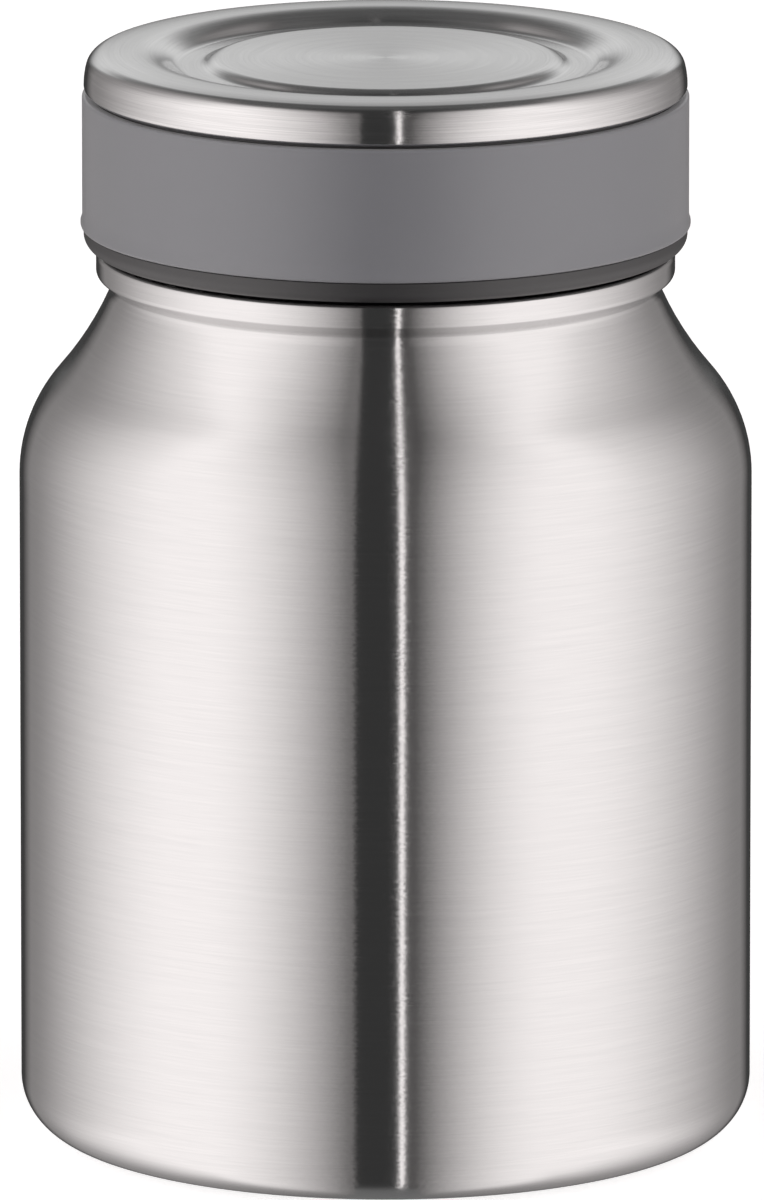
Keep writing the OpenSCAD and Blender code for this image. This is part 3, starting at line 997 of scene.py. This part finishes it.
# Edges of the dark card between the panels, by side, and the bright slit in it. These, PANEL_FROM
# and PANEL_PEAK count the angle that front_light calls "near".
CARD_EDGE = (9.5, 5.5)
CARD_SOFT = 0.8
SLIT_AT = 5.1
SLIT_HALF = 0.8
SLIT_SOFT = 0.3
SLIT_LEVEL = 1.75
SLIT_DEPTH_FADE = (0.1, 0.0)
# The two wide panels: brightness by side, and the bearings where they begin, peak and fall
PANEL_LEVEL = (1.45, 1.40)
PANEL_FROM = (5.5, 6.5)
PANEL_PEAK = (60.0, 54.0)
PANEL_FALL = (66.0, 58.0)
PANEL_TO = 152.0
PANEL_END_LEVEL = 0.3
PANEL_LEAST = (0.25, 0.12)
PANEL_SIDE_FADE = (150.0, 164.0, 1.0, 0.0)
PANEL_TOP_FADE = (67.0, 82.0, 1.0, 0.0)
PANEL_LEAN = 0.35
PANEL_DELAY = 0.27
FRONT_DEPTH_FADE = (0.0, -0.3)
# Degrees by which the panels reach farther round, low down and under the jar, and end lower at the back
LOW_REACH = (-12.0, -32.0, 0.0, 22.0)
UNDER_REACH = (-62.0, -80.0, 0.0, 60.0)
TOP_DROP = (-0.2, 0.3, 0.0, 18.0)
# The pale card behind the jar, half its width and how that grows with height
BACK_LEVEL = 0.82
BACK_HALF = 16.0
BACK_SOFT = 3.0
BACK_SPREAD = 0.6
FILL_LEVEL = 0.28
BACK_RISE = (-3.0, 16.0, CARD_LEVEL, BACK_LEVEL)
BACK_SINK = (17.0, 31.0, BACK_LEVEL, FILL_LEVEL)
BACK_TOP_FADE = (28.0, 44.0, 1.0, 0.2)
# Weak light all over the back: fill above, haze at the horizon and glow from the floor
BACK_DEPTH_FADE = (0.0, 0.3)
FILL_RISE = (12.0, 26.0)
FILL_SINK = (28.0, 46.0, FILL_LEVEL, CARD_LEVEL)
HAZE_RISE = (-3.0, 5.0, 0.0, 0.12)
GLOW_DEPTH_FADE = (-0.1, 0.2)
GLOW_RISE = (-14.0, -30.0, 0.0, 0.2)


def make_floor():
    """Pale floor. What the camera sees is lifted to white, and the jar's own shadow stays on it."""
    material, bench, surface = new_material("floor")
    grain = bench.noise(bench.object_place(), FLOOR_GRAIN, detail=3.0)
    colour = bench.tone(grain, dark=(0.86, 0.86, 0.86), light=(0.88, 0.88, 0.88))
    bench.feed(surface, "Base Color", colour)
    surface.inputs["Roughness"].default_value = 0.9
    surface.inputs["Specular IOR Level"].default_value = 0.0
    seen = bench.node("ShaderNodeLightPath").outputs["Is Camera Ray"]
    surface.inputs["Emission Color"].default_value = (1, 1, 1, 1)
    bench.feed(surface, "Emission Strength", bench.product(seen, FLOOR_LIFT))
    mesh = bpy.data.meshes.new("floor")
    h = FLOOR_SIZE / 2
    mesh.from_pydata([(-h, -h, 0), (h, -h, 0), (h, h, 0), (-h, h, 0)], [], [(0, 1, 2, 3)])
    mesh.materials.append(material)
    floor = add_object("floor", mesh)
    floor.visible_glossy = False


def front_light(bench, x, y, z, height):
    """Brightness of the two panels and of the slit, by direction. Where the jar shows a direction
    to the camera, its surface faces half the angle "near" aside, so an edge at one value of it
    stands upright on any slope of the jar."""
    on_right = bench.math("GREATER_THAN", x, 0.0)

    def by_side(pair):
        return bench.math("MULTIPLY_ADD", on_right, pair[1] - pair[0], pair[0])

    ahead = bench.math("SUBTRACT", math.cos(CAMERA_RISE), y)
    near = bench.product(bench.bearing(x, ahead), 2.0)
    near_off = bench.math("ABSOLUTE", near)
    front_up = bench.product(bench.highest(z, 0.0), bench.remap(y, *FRONT_DEPTH_FADE))
    leaned = bench.math("SUBTRACT", bench.product(front_up, PANEL_LEAN), y)
    reach = bench.total(bench.remap(height, *LOW_REACH), bench.remap(height, *UNDER_REACH))
    far = bench.math("SUBTRACT", bench.math("ABSOLUTE", bench.bearing(x, leaned)), reach)

    level = by_side(PANEL_LEVEL)
    delay = bench.math("MULTIPLY_ADD", bench.product(front_up, front_up), -PANEL_DELAY, 1.0)
    begun = bench.product(near_off, delay)
    begun = bench.remap(begun, by_side(PANEL_FROM), by_side(PANEL_PEAK), 0.0, math.pi / 2)
    rise = bench.product(bench.math("SINE", begun), level)
    fall = bench.remap(far, by_side(PANEL_FALL), PANEL_TO, level, PANEL_END_LEVEL, smooth=True)
    panel = bench.highest(bench.math("MINIMUM", rise, fall), by_side(PANEL_LEAST))
    to_top = bench.total(height, bench.remap(y, *TOP_DROP))
    from_card = bench.math("SUBTRACT", near_off, by_side(CARD_EDGE))
    panel = bench.product(
        panel,
        bench.remap(far, *PANEL_SIDE_FADE),
        bench.remap(to_top, *PANEL_TOP_FADE, smooth=True),
        bench.remap(from_card, -CARD_SOFT, CARD_SOFT),
    )
    off = bench.math("ABSOLUTE", bench.math("SUBTRACT", near, SLIT_AT))
    slit = bench.remap(off, SLIT_HALF - SLIT_SOFT, SLIT_HALF + SLIT_SOFT, SLIT_LEVEL, 0.0)
    return bench.highest(panel, bench.product(slit, bench.remap(y, *SLIT_DEPTH_FADE)))


def back_light(bench, x, y, height):
    """Brightness of the pale card behind the jar and of the weak light round it, by direction."""
    from_back = bench.bearing(bench.math("ABSOLUTE", x), y)
    aside = bench.math("MULTIPLY_ADD", height, -BACK_SPREAD, from_back)
    card = bench.product(
        bench.math(
            "MINIMUM",
            bench.remap(height, *BACK_RISE, smooth=True),
            bench.remap(height, *BACK_SINK, smooth=True),
        ),
        bench.remap(aside, BACK_HALF - BACK_SOFT, BACK_HALF + BACK_SOFT, 1.0, 0.0),
        bench.remap(height, *BACK_TOP_FADE, smooth=True),
    )
    to_back = bench.remap(y, *BACK_DEPTH_FADE)
    fill = bench.product(
        to_back, bench.remap(height, *FILL_RISE), bench.remap(height, *FILL_SINK, smooth=True)
    )
    haze = bench.product(to_back, bench.remap(height, *HAZE_RISE))
    glow = bench.product(bench.remap(y, *GLOW_DEPTH_FADE), bench.remap(height, *GLOW_RISE))
    return bench.highest(card, fill, haze, glow, CARD_LEVEL)


def make_tent():
    """Sphere round the studio that lights the jar and shows in it, unseen by the camera itself."""
    material = bpy.data.materials.new("light_tent")
    bench = empty_bench(material)
    x, y, z = bench.split(bench.vector("NORMALIZE", bench.object_place()))
    height = bench.math("DEGREES", bench.math("ARCSINE", z))
    front = front_light(bench, x, y, z, height)
    back = back_light(bench, x, y, height)
    from_lamps = bench.math("GREATER_THAN", front, back)
    colour = bench.tone(from_lamps, (1, 1, 1), LAMP_TINT)
    strength = bench.highest(front, back)
    glow = bench.node("ShaderNodeEmission", Color=colour, Strength=strength)
    bench.finish("ShaderNodeOutputMaterial", glow)

    bm = bmesh.new()
    bmesh.ops.create_uvsphere(
        bm, u_segments=TENT_SEGMENTS, v_segments=TENT_SEGMENTS // 2, radius=TENT_RADIUS
    )
    bmesh.ops.reverse_faces(bm, faces=bm.faces)
    mesh = bpy.data.meshes.new("light_tent")
    bm.to_mesh(mesh)
    bm.free()
    mesh.materials.append(material)
    tent = add_object("light_tent", mesh)
    tent.location.z = AIM.z
    tent.visible_camera = False


def make_world():
    """White background for what the camera, gloss or glass sees past the floor and the tent."""
    world = bpy.data.worlds.new("studio")
    bench = empty_bench(world)
    path = bench.node("ShaderNodeLightPath").outputs
    seen = bench.highest(
        path["Is Camera Ray"], path["Is Glossy Ray"], path["Is Transmission Ray"]
    )
    sky = bench.node("ShaderNodeBackground", Color=(1, 1, 1, 1), Strength=seen)
    bench.finish("ShaderNodeOutputWorld", sky)
    bpy.context.scene.world = world


make_camera()
MATERIALS = make_materials()
make_jar()
make_lid()
finish_hidden_nodes()
make_floor()
make_tent()
make_world()
bpy.context.scene.view_settings.view_transform = "Standard"
